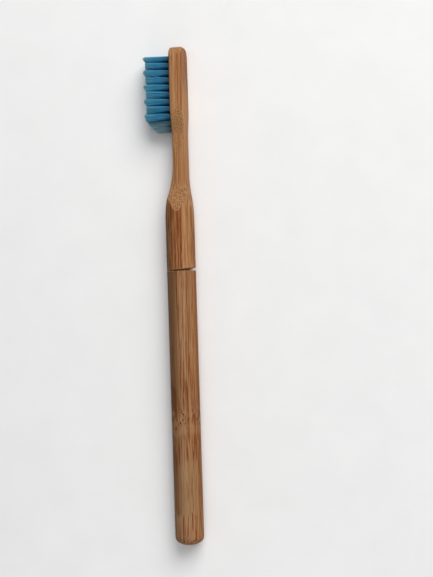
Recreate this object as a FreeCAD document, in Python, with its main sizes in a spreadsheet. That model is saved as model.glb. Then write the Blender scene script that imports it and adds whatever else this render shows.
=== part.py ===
import FreeCAD, Part

# A manual toothbrush of bamboo whose head pulls off its handle.
# It lies on its side: +Y runs from the butt to the toe, the bristles point to -X and +Z is
# up. The origin is on the surface it lies on, under the middle of its box.
# Lengths are in millimetres. Every piece is drawn round the handle's own axis, with the
# butt at y = 0, and is then placed.

import math
import os
import sys

import Sketcher

# The sizes that drive everything
SIZES = {
    # handle
    "handle_diameter": 11.0,
    "handle_length": 104.8,
    "butt_crown": 8.5,
    "butt_round": 2.6,
    "mouth_round": 0.15,
    # peg that joins the head to the handle, and its two sockets
    "peg_diameter": 6.4,
    "peg_in_handle": 15.0,
    "peg_in_head": 12.0,
    "peg_chamfer": 0.5,
    "peg_clearance": 0.05,
    "handle_socket_gap": 1.0,
    "head_socket_gap": 0.2,
    # head, measured from the handle's mouth
    "head_length": 85.2,
    "shoulder_gap_front": 0.1,
    "shoulder_gap_back": 1.0,
    "shoulder_round": 0.25,
    "plate_front": 1.4,
    "plate_back": 3.6,
    "neck_width": 6.7,
    "head_width": 11.0,
    "toe_corner": 3.8,
    "front_edge_round": 0.7,
    "back_edge_round": 0.75,
    # scoops that lead from the round shank to the neck, measured from the handle's mouth
    "flat_allowance": 0.05,
    "front_scoop_start": 15.6,
    "front_scoop_length": 26.7,
    "back_scoop_start": 16.0,
    "back_scoop_length": 21.0,
    "side_allowance": 0.25,
    "side_scoop_start": 19.2,
    "side_scoop_length": 15.0,
    "neck_middle": 45.8,
    # cheeks where the neck widens to the head
    "cheek_start": 49.7,
    "cheek_length": 12.5,
    # bristle field, measured from the toe and from the plate's front
    "first_column": 4.25,
    "column_pitch": 2.74,
    "row_pitch": 2.3,
    "hole_diameter": 1.7,
    "hole_depth": 3.2,
    "bristle_high": 10.35,
    "bristle_low": 9.45,
    "peak_lead": 0.4,
    "toe_margin": 0.95,
    "toe_drop": 0.7,
    "heel_margin": 0.82,
    "heel_drop": 0.2,
    "heel_height": 4.4,
    "heel_round": 7.2,
    # tufts, and the anchors that hold them in their holes
    "tuft_clearance": 0.05,
    "tip_length": 2.7,
    "tip_width": 2.25,
    "fold_round": 0.6,
    "fold_height": 0.5,
    "anchor_thickness": 0.25,
    "anchor_width": 2.0,
    "anchor_height": 1.4,
    # how far a cutting shape runs past what it cuts
    "overrun": 2.0,
}

# The bristle field: how many columns run along the head, and which of four rows they fill
FULL_COLUMNS = 9
HEEL_COLUMNS = 2
COLUMNS = FULL_COLUMNS + HEEL_COLUMNS
ROWS = 4
FULL_ROWS = (1, 2, 3, 4)
HEEL_ROWS = (2, 3)

# Where the valley between two peaks begins and ends, in shares of the column pitch
VALLEY_TOE_SHARE = 0.42
VALLEY_HEEL_SHARE = 0.28

# How near an edge has to lie to the place it is looked for
NEAR = 1e-4

doc = FreeCAD.newDocument("toothbrush")
sheet = doc.addObject("Spreadsheet::Sheet", "Sizes")
for line, (alias, number) in enumerate(SIZES.items(), 1):
    sheet.set(f"A{line}", alias)
    sheet.set(f"B{line}", str(number))
    sheet.setAlias(f"B{line}", alias)
doc.recompute()


class Size:
    # A length as a number, together with the expression that binds it to the sheet
    def __init__(self, value, text):
        self.value = float(value)
        self.text = text

    def combined(self, sign, other, value):
        return Size(value, f"({self.text} {sign} {text_of(other)})")

    def __add__(self, other):
        return self.combined("+", other, self.value + value_of(other))

    def __sub__(self, other):
        return self.combined("-", other, self.value - value_of(other))

    def __mul__(self, other):
        return self.combined("*", other, self.value * value_of(other))

    def __truediv__(self, other):
        return self.combined("/", other, self.value / value_of(other))

    def __neg__(self):
        return Size(-self.value, f"(0 - {self.text})")


def value_of(size):
    return size.value if isinstance(size, Size) else float(size)


def text_of(size):
    return size.text if isinstance(size, Size) else repr(size)


def root_of(size):
    return Size(math.sqrt(size.value), f"sqrt({size.text})")


def named(alias):
    return Size(sheet.get(alias), f"Sizes.{alias}")


def bind(thing, path, size):
    thing.setExpression(path, size.text)


# Sizes that follow from the driving ones
ZERO = named("overrun") * 0
OVERRUN = named("overrun")
RADIUS = named("handle_diameter") / 2
MOUTH = named("handle_length")
TOE = MOUTH + named("head_length")
STOCK = RADIUS + named("flat_allowance")
SIDE_STOCK = RADIUS + named("side_allowance")
PEG_RADIUS = named("peg_diameter") / 2
SOCKET_RADIUS = PEG_RADIUS + named("peg_clearance")
FRONT = -named("plate_front")
BACK = named("plate_back")
HALF_NECK = named("neck_width") / 2
HALF_HEAD = named("head_width") / 2
NECK_MIDDLE = MOUTH + named("neck_middle")
FIRST_COLUMN = TOE - named("first_column")
HOLE_RADIUS = named("hole_diameter") / 2
ROOT_RADIUS = HOLE_RADIUS - named("tuft_clearance")
ROOT_DEPTH = named("hole_depth") - named("tuft_clearance")
ANCHOR_FAR = FRONT + ROOT_DEPTH - named("fold_height")
ANCHOR_NEAR = ANCHOR_FAR - named("anchor_height")

# Where the handle's axis lies, so that the origin is under the middle of the box
AXIS_X = (named("bristle_high") + named("plate_front") - RADIUS) / 2
AXIS_Y = -TOE / 2
AXIS_Z = RADIUS


def column_y(column):
    return FIRST_COLUMN - named("column_pitch") * (column - 1)


def row_z(row):
    return named("row_pitch") * (row - (ROWS + 1) / 2)


def rows_of(column):
    return FULL_ROWS if column <= FULL_COLUMNS else HEEL_ROWS


def move(thing, x, y, z):
    for letter, size in (("x", x), ("y", y), ("z", z)):
        bind(thing, f"Placement.Base.{letter}", size)


def place(thing, y=ZERO, z=ZERO):
    # Takes a thing drawn round the handle's axis, or y and z off it, into the object's frame
    move(thing, AXIS_X, AXIS_Y + y, AXIS_Z + z)


# Outlines. A path is a list of points, each with the radius of the arc that leads on to the
# next point; a straight line leads on where it has none. A positive radius turns left.


def point(x, y, radius=None):
    return x, y, radius


def s_curve(along0, across0, along1, across1):
    # Two equal arcs that leave the first point and reach the second one along the handle's
    # axis, which is the first coordinate here
    run = along1 - along0
    rise = across1 - across0
    radius = (run * run + rise * rise) / (rise * 4)
    return [
        point(along0, across0, radius),
        point((along0 + along1) / 2, (across0 + across1) / 2, -radius),
        point(along1, across1),
    ]


def swapped(path):
    # The same path with its two coordinates exchanged, which turns every arc the other way
    return [(y, x, None if r is None else -r) for x, y, r in path]


def mirrored(path):
    # The path seen in the axis along the first coordinate, walked backwards
    walked = []
    for index in range(len(path) - 1, -1, -1):
        x, y, _ = path[index]
        radius = path[index - 1][2] if index else None
        walked.append((x, -y, radius))
    return walked


def arc_between(start, end, radius):
    # The centre of the shorter arc from start to end that turns left
    middle = (start + end) / 2
    chord = end - start
    across = FreeCAD.Vector(-chord.y, chord.x, 0).normalize()
    return middle + across * math.sqrt(radius**2 - (chord.Length / 2) ** 2)


def angle_at(centre, place):
    return math.atan2(place.y - centre.y, place.x - centre.x)


def add_outline(sketch, path):
    ends = []
    for (x0, y0, radius), (x1, y1, _) in zip(path, path[1:] + path[:1]):
        start = FreeCAD.Vector(x0.value, y0.value, 0)
        end = FreeCAD.Vector(x1.value, y1.value, 0)
        first, last = 1, 2
        if radius is None:
            index = sketch.addGeometry(Part.LineSegment(start, end))
        else:
            if radius.value < 0:
                radius = -radius
                start, end = end, start
                first, last = 2, 1
            centre = arc_between(start, end, radius.value)
            circle = Part.Circle(centre, FreeCAD.Vector(0, 0, 1), radius.value)
            begins = angle_at(centre, start)
            finishes = angle_at(centre, end)
            if finishes < begins:
                finishes += 2 * math.pi
            index = sketch.addGeometry(Part.ArcOfCircle(circle, begins, finishes))
            fix_radius(sketch, index, radius)
        fix_point(sketch, index, first, x0, y0)
        ends.append((index, first, last))
    for (index, _, last), (following, first, _) in zip(ends, ends[1:] + ends[:1]):
        sketch.addConstraint(Sketcher.Constraint("Coincident", index, last, following, first))


def fix_point(sketch, index, end, x, y):
    # Ties a point of the sketch to its two coordinates
    for kind, size in (("DistanceX", x), ("DistanceY", y)):
        rule = Sketcher.Constraint(kind, -1, 1, index, end, size.value)
        bind(sketch, f"Constraints[{sketch.addConstraint(rule)}]", size)


def fix_radius(sketch, index, radius):
    rule = Sketcher.Constraint("Radius", index, radius.value)
    bind(sketch, f"Constraints[{sketch.addConstraint(rule)}]", radius)


def add_circle(sketch, x, y, radius):
    centre = FreeCAD.Vector(x.value, y.value, 0)
    index = sketch.addGeometry(Part.Circle(centre, FreeCAD.Vector(0, 0, 1), radius.value))
    fix_point(sketch, index, 3, x, y)
    fix_radius(sketch, index, radius)


def add_rectangle(sketch, x0, y0, x1, y1):
    add_outline(sketch, [point(x0, y0), point(x1, y0), point(x1, y1), point(x0, y1)])


# Bodies and their features


def new_body(name):
    body = doc.addObject("PartDesign::Body", name)
    body.Label = name
    return body


def new_sketch(body, name, role, offset=None):
    sketch = body.newObject("Sketcher::SketchObject", name)
    plane = next(f for f in body.Origin.OriginFeatures if f.Role == role)
    sketch.AttachmentSupport = [(plane, "")]
    sketch.MapMode = "FlatFace"
    if offset is not None:
        bind(sketch, "AttachmentOffset.Base.z", offset)
    return sketch


def turned(body, kind, name, sketch):
    # A full turn of the sketch about the handle's axis, added or cut away
    feature = body.newObject(f"PartDesign::{kind}", name)
    feature.Profile = sketch
    feature.ReferenceAxis = (sketch, ["V_Axis"])
    feature.Angle = 360
    doc.recompute()
    return feature


def cut_through(body, name, sketch, width):
    pocket = body.newObject("PartDesign::Pocket", name)
    pocket.Profile = sketch
    pocket.Midplane = True
    bind(pocket, "Length", width)
    doc.recompute()
    return pocket


def cut_in(body, name, sketch, depth):
    # Cuts from the sketch towards the back of the head
    pocket = body.newObject("PartDesign::Pocket", name)
    pocket.Profile = sketch
    pocket.Reversed = True
    bind(pocket, "Length", depth)
    doc.recompute()
    return pocket


def repeated(body, name, feature, sketch, count):
    # Repeats a cut from the toe towards the handle
    pattern = body.newObject("PartDesign::LinearPattern", name)
    pattern.Originals = [feature]
    pattern.Direction = (sketch, ["H_Axis"])
    pattern.Reversed = True
    pattern.Mode = "Spacing"
    pattern.Occurrences = count
    bind(pattern, "Offset", named("column_pitch"))
    body.Tip = pattern
    doc.recompute()
    return pattern


def rounded(body, name, feature, picks, radius):
    fillet = body.newObject("PartDesign::Fillet", name)
    fillet.Base = (feature, picks)
    bind(fillet, "Radius", radius)
    doc.recompute()
    return fillet


def edges_where(feature, wanted):
    edges = enumerate(feature.Shape.Edges, 1)
    return [f"Edge{number}" for number, edge in edges if wanted(edge.BoundBox, edge)]


def near(number, other):
    return abs(number - other) < NEAR


# Handle: a round stick with a crowned butt and a blind socket in its mouth

handle = new_body("handle")
handle_sketch = new_sketch(handle, "handle_outline", "XY_Plane")
handle_socket_end = MOUTH - named("peg_in_handle") - named("handle_socket_gap")

# The crown and the round that follows it touch where both have the same direction
crown = named("butt_crown")
round_reach = RADIUS - named("butt_round")
centres_apart = crown - named("butt_round")
crown_to_round = root_of(centres_apart * centres_apart - round_reach * round_reach)
meeting_share = crown / centres_apart
add_outline(
    handle_sketch,
    [
        point(ZERO, ZERO, crown),
        point(
            round_reach * meeting_share,
            crown - crown_to_round * meeting_share,
            named("butt_round"),
        ),
        point(RADIUS, crown - crown_to_round),
        point(RADIUS, MOUTH - named("mouth_round"), named("mouth_round")),
        point(RADIUS - named("mouth_round"), MOUTH),
        point(SOCKET_RADIUS, MOUTH),
        point(SOCKET_RADIUS, handle_socket_end),
        point(ZERO, handle_socket_end),
    ],
)
turned(handle, "Revolution", "handle_stick", handle_sketch)
place(handle)

# Peg: a dowel that sits in the head and plugs into the handle

peg = new_body("joint_peg")
peg_sketch = new_sketch(peg, "peg_outline", "XY_Plane")
peg_low = MOUTH - named("peg_in_handle")
peg_high = MOUTH + named("peg_in_head")
peg_end_radius = PEG_RADIUS - named("peg_chamfer")
add_outline(
    peg_sketch,
    [
        point(ZERO, peg_low),
        point(peg_end_radius, peg_low),
        point(PEG_RADIUS, peg_low + named("peg_chamfer")),
        point(PEG_RADIUS, peg_high - named("peg_chamfer")),
        point(peg_end_radius, peg_high),
        point(ZERO, peg_high),
    ],
)
turned(peg, "Revolution", "peg_stick", peg_sketch)
place(peg)

# Head: its plan is padded and its side view cut from that, the long edges are rounded, and
# the shank is then turned down to the handle's size

head = new_body("head_blank")
side_low = MOUTH + named("side_scoop_start")
side_high = side_low + named("side_scoop_length")
cheek_low = MOUTH + named("cheek_start")
cheek_high = cheek_low + named("cheek_length")
one_side = [
    point(MOUTH, -SIDE_STOCK),
    *s_curve(side_low, -SIDE_STOCK, side_high, -HALF_NECK),
    *s_curve(cheek_low, -HALF_NECK, cheek_high, -HALF_HEAD),
    point(TOE - named("toe_corner"), -HALF_HEAD, named("toe_corner")),
    point(TOE, named("toe_corner") - HALF_HEAD),
]
plan_sketch = new_sketch(head, "head_plan", "YZ_Plane")
add_outline(plan_sketch, one_side + mirrored(one_side))
plan = head.newObject("PartDesign::Pad", "head_pad")
plan.Profile = plan_sketch
plan.Midplane = True
bind(plan, "Length", STOCK * 2 + OVERRUN)
doc.recompute()

front_low = MOUTH + named("front_scoop_start")
front_high = front_low + named("front_scoop_length")
back_low = MOUTH + named("back_scoop_start")
back_high = back_low + named("back_scoop_length")
view_sketch = new_sketch(head, "head_side_view", "XY_Plane")
for low, high, side, face in (
    (front_low, front_high, -STOCK, FRONT),
    (back_low, back_high, STOCK, BACK),
):
    outside = side * 2
    add_outline(
        view_sketch,
        swapped(
            [
                point(MOUTH - OVERRUN, side),
                *s_curve(low, side, high, face),
                point(TOE + OVERRUN, face),
                point(TOE + OVERRUN, outside),
                point(MOUTH - OVERRUN, outside),
            ]
        ),
    )
shaped = cut_through(head, "head_scoops", view_sketch, SIDE_STOCK * 2 + OVERRUN)


def runs_round_head(box):
    # True for the edges that run along the head and round its toe
    return box.YLength > NEAR or (near(box.YMin, TOE.value) and box.XLength < NEAR)


front_edges = edges_where(shaped, lambda box, edge: box.XMax < 0 and runs_round_head(box))
shaped = rounded(head, "front_edges", shaped, front_edges, named("front_edge_round"))
back_edges = edges_where(shaped, lambda box, edge: box.XMin > 0 and runs_round_head(box))
shaped = rounded(head, "back_edges", shaped, back_edges, named("back_edge_round"))

turning_sketch = new_sketch(head, "shank_turning", "XY_Plane")
add_rectangle(turning_sketch, RADIUS, MOUTH - OVERRUN, RADIUS * 2, NECK_MIDDLE)
turned(head, "Groove", "shank", turning_sketch)

# The shoulder leans, so the joint gapes more at the back than at the front
shoulder_sketch = new_sketch(head, "shoulder_line", "XY_Plane")
gap_front = named("shoulder_gap_front")
gap_back = named("shoulder_gap_back")
gap_middle = (gap_front + gap_back) / 2
lean = (gap_back - gap_front) / 2
add_outline(
    shoulder_sketch,
    [
        point(-RADIUS * 2, MOUTH - OVERRUN),
        point(RADIUS * 2, MOUTH - OVERRUN),
        point(RADIUS * 2, MOUTH + gap_middle + lean * 2),
        point(-RADIUS * 2, MOUTH + gap_middle - lean * 2),
    ],
)
shoulder = cut_through(head, "shoulder", shoulder_sketch, RADIUS * 4)


def on_shoulder(box, edge):
    low = (MOUTH + gap_front).value - NEAR
    high = (MOUTH + gap_back).value + NEAR
    return low < box.YMin and box.YMax < high


shoulder_edges = edges_where(shoulder, on_shoulder)
rounded(head, "shoulder_edge", shoulder, shoulder_edges, named("shoulder_round"))

socket_sketch = new_sketch(head, "head_socket_outline", "XY_Plane")
head_socket_end = peg_high + named("head_socket_gap")
add_rectangle(socket_sketch, ZERO, MOUTH, SOCKET_RADIUS, head_socket_end)
turned(head, "Groove", "head_socket", socket_sketch)

# Holes for the tufts, and below their mouths the slots that the anchors bite into the wood
for part_name, first, rows, count in (
    ("full", 1, FULL_ROWS, FULL_COLUMNS),
    ("heel", FULL_COLUMNS + 1, HEEL_ROWS, HEEL_COLUMNS),
):
    hole_sketch = new_sketch(head, f"{part_name}_hole_circles", "YZ_Plane", FRONT)
    slot_sketch = new_sketch(head, f"{part_name}_slot_lines", "YZ_Plane", ANCHOR_NEAR)
    half_thickness = named("anchor_thickness") / 2
    half_width = named("anchor_width") / 2
    for row in rows:
        add_circle(hole_sketch, column_y(first), row_z(row), HOLE_RADIUS)
        add_rectangle(
            slot_sketch,
            column_y(first) - half_thickness,
            row_z(row) - half_width,
            column_y(first) + half_thickness,
            row_z(row) + half_width,
        )
    holes = cut_in(head, f"{part_name}_holes", hole_sketch, named("hole_depth"))
    repeated(head, f"{part_name}_hole_columns", holes, hole_sketch, count)
    slots = cut_in(head, f"{part_name}_slots", slot_sketch, named("anchor_height"))
    repeated(head, f"{part_name}_slot_columns", slots, slot_sketch, count)
place(head)

# One untrimmed tuft, drawn with its axis along X: a folded root with the anchor's slot, and
# bristles that spread into an ellipse

tuft = new_body("tuft_blank")
root_sketch = new_sketch(tuft, "root_outline", "XY_Plane")
root_end = FRONT + ROOT_DEPTH
fold = named("fold_round")
add_outline(
    root_sketch,
    [
        point(FRONT, ZERO),
        point(root_end, ZERO),
        point(root_end, ROOT_RADIUS - fold, fold),
        point(root_end - fold, ROOT_RADIUS),
        point(FRONT, ROOT_RADIUS),
    ],
)
root = tuft.newObject("PartDesign::Revolution", "root")
root.Profile = root_sketch
root.ReferenceAxis = (root_sketch, ["H_Axis"])
root.Angle = 360
doc.recompute()

mouth_sketch = new_sketch(tuft, "tuft_at_plate", "YZ_Plane", FRONT)
add_circle(mouth_sketch, ZERO, ZERO, ROOT_RADIUS)
tip_sketch = new_sketch(tuft, "tuft_at_tip", "YZ_Plane", FRONT - named("bristle_high"))
half_length = named("tip_length") / 2
half_breadth = named("tip_width") / 2
ellipse = Part.Ellipse(
    FreeCAD.Vector(half_length.value, 0, 0),
    FreeCAD.Vector(0, half_breadth.value, 0),
    FreeCAD.Vector(0, 0, 0),
)
tip = tip_sketch.addGeometry(ellipse)
tip_sketch.exposeInternalGeometry(tip)
fix_point(tip_sketch, tip, 3, ZERO, ZERO)
fix_point(tip_sketch, tip + 1, 1, half_length, ZERO)
tip_rule = Sketcher.Constraint("DistanceY", -1, 1, tip + 2, 1, half_breadth.value)
bind(tip_sketch, f"Constraints[{tip_sketch.addConstraint(tip_rule)}]", half_breadth)
spread = tuft.newObject("PartDesign::AdditiveLoft", "spread")
spread.Profile = mouth_sketch
spread.Sections = [tip_sketch]
spread.Ruled = True
doc.recompute()

anchor_sketch = new_sketch(tuft, "anchor_slot_outline", "XY_Plane")
add_rectangle(
    anchor_sketch, ANCHOR_NEAR, -half_thickness, ANCHOR_FAR, half_thickness
)
cut_through(tuft, "anchor_slot", anchor_sketch, named("hole_diameter") * 2)

# The side view that all tufts are trimmed to: peaks, valleys and a round heel

trim_sketch = doc.addObject("Sketcher::SketchObject", "trim_outline")
pitch = named("column_pitch")
deep = FRONT + named("hole_depth") + OVERRUN
peak = FRONT - named("bristle_high")
valley = FRONT - named("bristle_low")
toe_line = FIRST_COLUMN + named("toe_margin")
heel_line = column_y(COLUMNS) - named("heel_margin")
trim_path = [
    point(deep, toe_line),
    point(peak + named("toe_drop"), toe_line),
    point(peak, FIRST_COLUMN + named("peak_lead")),
]
for column in range(2, FULL_COLUMNS, 2):
    trim_path += [
        point(valley, column_y(column) + pitch * VALLEY_TOE_SHARE),
        point(valley, column_y(column) - pitch * VALLEY_HEEL_SHARE),
        point(peak, column_y(column + 1) + named("peak_lead")),
    ]
trim_path += [
    point(peak + named("heel_drop"), column_y(FULL_COLUMNS), named("heel_round")),
    point(FRONT - named("heel_height"), heel_line),
    point(deep, heel_line),
]
add_outline(trim_sketch, trim_path)
trim = doc.addObject("Part::Extrusion", "trim")
trim.Base = trim_sketch
trim.DirMode = "Normal"
trim.Solid = True
trim.Symmetric = True
bind(trim, "LengthFwd", named("tip_width") + OVERRUN)
doc.recompute()

# Tufts: one trimmed copy for each hole

tufts = []
for column in range(1, COLUMNS + 1):
    trim_here = doc.addObject("Part::Compound", f"trim_at_{column:02d}")
    trim_here.Links = [trim]
    move(trim_here, ZERO, -column_y(column), ZERO)
    for row in rows_of(column):
        trimmed = doc.addObject("Part::Common", f"tuft_{column:02d}_{row}")
        trimmed.Base = tuft
        trimmed.Tool = trim_here
        place(trimmed, column_y(column), row_z(row))
        tufts.append(trimmed)

# Anchors: one flat plate for each tuft, in one group for each column

plates = {}
for row in FULL_ROWS:
    plate = doc.addObject("Part::Box", f"anchor_plate_{row}")
    bind(plate, "Length", named("anchor_height"))
    bind(plate, "Width", named("anchor_thickness"))
    bind(plate, "Height", named("anchor_width"))
    move(plate, ANCHOR_NEAR, -half_thickness, row_z(row) - half_width)
    plates[row] = plate
anchors = []
for column in range(1, COLUMNS + 1):
    group = doc.addObject("Part::Compound", f"anchors_{column:02d}")
    group.Links = [plates[row] for row in rows_of(column)]
    place(group, column_y(column))
    anchors.append(group)

doc.recompute()

# Nothing is written unless every object is sound

for thing in doc.Objects:
    if "Invalid" in thing.State or "Error" in thing.State:
        sys.exit(f"{thing.Name} did not recompute: {thing.State}")
os.makedirs("parts", exist_ok=True)
for piece in [handle, peg, head] + tufts + anchors:
    if piece.Shape.isNull() or not piece.Shape.isValid():
        sys.exit(f"{piece.Name} has no valid shape")
    piece.Label = piece.Name
    piece.Shape.exportStep(f"parts/{piece.Label}.step")
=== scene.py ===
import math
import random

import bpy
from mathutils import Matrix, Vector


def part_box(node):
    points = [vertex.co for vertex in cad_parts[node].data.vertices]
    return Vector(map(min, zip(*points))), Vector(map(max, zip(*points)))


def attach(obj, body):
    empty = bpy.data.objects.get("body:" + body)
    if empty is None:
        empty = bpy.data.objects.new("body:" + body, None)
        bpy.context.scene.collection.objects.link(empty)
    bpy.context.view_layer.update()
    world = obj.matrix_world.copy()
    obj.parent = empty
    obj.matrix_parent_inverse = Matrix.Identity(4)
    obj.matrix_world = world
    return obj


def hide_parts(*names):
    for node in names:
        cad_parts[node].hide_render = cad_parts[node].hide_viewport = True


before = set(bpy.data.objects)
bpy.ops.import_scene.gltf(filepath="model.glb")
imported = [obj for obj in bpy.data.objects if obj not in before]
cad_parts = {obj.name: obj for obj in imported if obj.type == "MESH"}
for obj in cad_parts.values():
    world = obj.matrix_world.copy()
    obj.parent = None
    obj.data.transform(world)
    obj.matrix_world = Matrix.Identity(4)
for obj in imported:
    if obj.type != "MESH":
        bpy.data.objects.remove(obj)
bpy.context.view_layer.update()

# Looks of a bamboo toothbrush that lies on its side, with its axis along Y. Shapes are in
# metres. Patterns are in millimetres: across and up from the axis, and along from the butt.
# A span is two places between which something fades in, or out where the higher one is first.
# A stretch is a low place, a high place and how soft its two ends are.

MM = 0.001
PER_METRE = 1000

# Places that the CAD nodes give
HANDLE_LOW, HANDLE_HIGH = (Vector(corner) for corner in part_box("handle"))
AXIS_X = (HANDLE_LOW.x + HANDLE_HIGH.x) / 2
AXIS_Z = (HANDLE_LOW.z + HANDLE_HIGH.z) / 2
BUTT_Y = HANDLE_LOW.y
TOE_Y = Vector(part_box("head_blank")[1]).y

# Shape of the bristle field, which the tuft solids share
PLATE_DEPTH_MM = 1.4
PLATE_X = AXIS_X - PLATE_DEPTH_MM * MM
PITCH = 2.74 * MM
ROW_PITCH = 2.3 * MM
MIDDLE_ROW = 2.5
FULL_COLUMNS = 9
COLUMNS = 11
FIRST_Y = TOE_Y - 4.25 * MM
TOE_LINE = FIRST_Y + 0.95 * MM
HEEL_LINE = FIRST_Y - (COLUMNS - 1) * PITCH - 0.82 * MM
HEEL_EDGE = HEEL_LINE + 0.3 * MM

# Shape of the trim line over the plate
PEAK_HEIGHT = 10.35 * MM
VALLEY_HEIGHT = 9.45 * MM
PEAK_LEAD = 0.4 * MM
VALLEY_TOE_SHARE = 0.42
VALLEY_HEEL_SHARE = 0.28
TOE_DROP = 0.7 * MM
HEEL_TOP = PEAK_HEIGHT - 0.2 * MM
HEEL_HEIGHT = 4.4 * MM
HEEL_ROUND = 7.2 * MM


# Node helpers

# The colour sockets of the mix node, which has others for other data
MIX_SHARE, MIX_FIRST, MIX_SECOND, MIX_RESULT = 0, 6, 7, 2
BLACK = (0, 0, 0, 1)
FLAT_SHARE = 0.35


class Graph:
    # Short names for the nodes of one material
    def __init__(self, name):
        self.material = bpy.data.materials.new(name)
        self.material.use_nodes = True
        self.tree = self.material.node_tree
        self.shader = self.tree.nodes["Principled BSDF"]

    def node(self, kind, **settings):
        made = self.tree.nodes.new(kind)
        for key, value in settings.items():
            setattr(made, key, value)
        return made

    def link(self, source, target):
        self.tree.links.new(source, target)

    def put(self, target, value):
        if isinstance(value, bpy.types.NodeSocket):
            self.link(value, target)
        else:
            target.default_value = value

    def surface(self, values):
        # Patterns and constants for the shader, by the names of its sockets
        for name, value in values.items():
            self.put(self.shader.inputs[name], value)

    def math(self, operation, first, second=0.0):
        made = self.node("ShaderNodeMath", operation=operation)
        for socket, value in zip(made.inputs, (first, second)):
            self.put(socket, value)
        return made.outputs[0]

    def add(self, first, second):
        return self.math("ADD", first, second)

    def times(self, *factors):
        product = factors[0]
        for factor in factors[1:]:
            product = self.math("MULTIPLY", product, factor)
        return product

    def larger(self, first, second):
        return self.math("MAXIMUM", first, second)

    def between(self, value, low, high, to_low=0.0, to_high=1.0):
        # Goes smoothly from to_low, where the value is low, to to_high, where it is high
        made = self.node("ShaderNodeMapRange", interpolation_type="SMOOTHSTEP")
        for socket, number in zip(made.inputs, (value, low, high, to_low, to_high)):
            self.put(socket, number)
        return made.outputs[0]

    def blend(self, share, at_none, at_all):
        # Goes smoothly from at_none, where the share is none, to at_all, where it is one
        return self.between(share, 0.0, 1.0, at_none, at_all)

    def stretch(self, value, low, high, soft):
        # One from low to high, and nothing beyond, with soft ends
        rises = self.between(value, low - soft, low + soft)
        falls = self.between(value, high + soft, high - soft)
        return self.times(rises, falls)

    def vector(self, x, y, z):
        made = self.node("ShaderNodeCombineXYZ")
        for socket, value in zip(made.inputs, (x, y, z)):
            self.put(socket, value)
        return made.outputs[0]

    def split(self, vector):
        made = self.node("ShaderNodeSeparateXYZ")
        self.link(vector, made.inputs[0])
        return made.outputs

    def noise(self, vector, detail=2.0, roughness=0.5, scale=1.0, output="Fac"):
        made = self.node("ShaderNodeTexNoise")
        self.link(vector, made.inputs["Vector"])
        made.inputs["Scale"].default_value = scale
        made.inputs["Detail"].default_value = detail
        made.inputs["Roughness"].default_value = roughness
        return made.outputs[output]

    def centred(self, noise, reach):
        # A noise turned into a shift to either side
        return self.times(self.add(noise, -0.5), reach)

    def cells(self, vector, randomness, dimensions):
        # The distance from the nearest cell's middle, and that cell's random numbers
        made = self.node("ShaderNodeTexVoronoi", feature="F1", voronoi_dimensions=dimensions)
        self.link(vector, made.inputs["Vector"])
        made.inputs["Scale"].default_value = 1.0
        made.inputs["Randomness"].default_value = randomness
        return made.outputs["Distance"], self.split(made.outputs["Color"])

    def mix(self, share, first, second):
        made = self.node("ShaderNodeMix", data_type="RGBA")
        self.put(made.inputs[MIX_SHARE], share)
        self.put(made.inputs[MIX_FIRST], first)
        self.put(made.inputs[MIX_SECOND], second)
        return made.outputs[MIX_RESULT]

    def tint(self, colour, tone, *shares):
        # The colour moved towards the tone by the product of the shares
        return self.mix(self.times(*shares), colour, tone)

    def ramp(self, value, stops):
        # A new ramp has two stops already, and it holds 32 at most
        made = self.node("ShaderNodeValToRGB")
        ramp = made.color_ramp
        for index, (place, colour) in enumerate(stops):
            if index < 2:
                stop = ramp.elements[index]
                stop.position = place
            else:
                stop = ramp.elements.new(place)
            stop.color = colour
        self.put(made.inputs[0], value)
        return made.outputs[0]

    def lines(self, place, marks):
        # A mask with a line for each mark: its middle, half its width and its strength. The
        # line is flat over its inner share.
        stops = [(0.0, BLACK)]
        for middle, half, strength in marks:
            full = (strength, strength, strength, 1)
            stops.append((middle - half, BLACK))
            stops.append((middle - FLAT_SHARE * half, full))
            stops.append((middle + FLAT_SHARE * half, full))
            stops.append((middle + half, BLACK))
        return self.ramp(place, stops)

    def bump(self, height, strength, distance):
        made = self.node("ShaderNodeBump")
        made.inputs["Strength"].default_value = strength
        made.inputs["Distance"].default_value = distance
        self.link(height, made.inputs["Height"])
        return made.outputs[0]


class Solid(Graph):
    # A material that knows its place in the brush, in millimetres
    def __init__(self, name):
        super().__init__(name)
        x, y, z = self.split(self.node("ShaderNodeTexCoord").outputs["Object"])
        self.across = self.times(self.add(x, -AXIS_X), PER_METRE)
        self.along = self.times(self.add(y, -BUTT_Y), PER_METRE)
        self.up = self.times(self.add(z, -AXIS_Z), PER_METRE)

    def scaled(self, across, along, up):
        return self.vector(
            self.times(self.across, across),
            self.times(self.along, along),
            self.times(self.up, up),
        )


def paint(red, green, blue):
    # A colour given as it looks on a screen, from 0 to 255
    def linear(value):
        share = value / 255
        return share / 12.92 if share <= 0.04045 else ((share + 0.055) / 1.055) ** 2.4

    return linear(red), linear(green), linear(blue), 1.0


# Tones of the bamboo

LIGHT = paint(165, 127, 92)
MID = paint(155, 112, 73)
TAN = paint(160, 121, 84)
GOLD = paint(186, 139, 95)
WHEAT = paint(170, 126, 87)
HONEY = paint(175, 124, 77)
NECK_TONE = paint(160, 113, 74)
STRAW = paint(154, 125, 91)
AMBER = paint(156, 104, 58)
ORANGE = paint(130, 72, 30)
COPPER = paint(146, 76, 30)
RUST = paint(112, 50, 22)
# Painted shade along the back edge of the handle, in a browner tone
BACK_EDGE_SHADE = paint(138, 88, 44)
# Darker tones of the side that faces the bristles, partly the bamboo's own and partly painted
# shade
SHADE = paint(106, 74, 46)
DEEP_SHADE = paint(84, 56, 34)
DARK = paint(84, 44, 20)
# Darkest tone of the shank on that side, partly its own and partly painted shade
DEEPEST_SHADE = paint(76, 45, 25)
PIT_TONE = paint(44, 24, 14)

HANDLE_TONES = {"light": LIGHT, "mid": MID, "orange": ORANGE, "dark": DARK}
HEAD_TONES = {"light": GOLD, "mid": HONEY, "orange": ORANGE, "dark": DARK}

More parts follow.
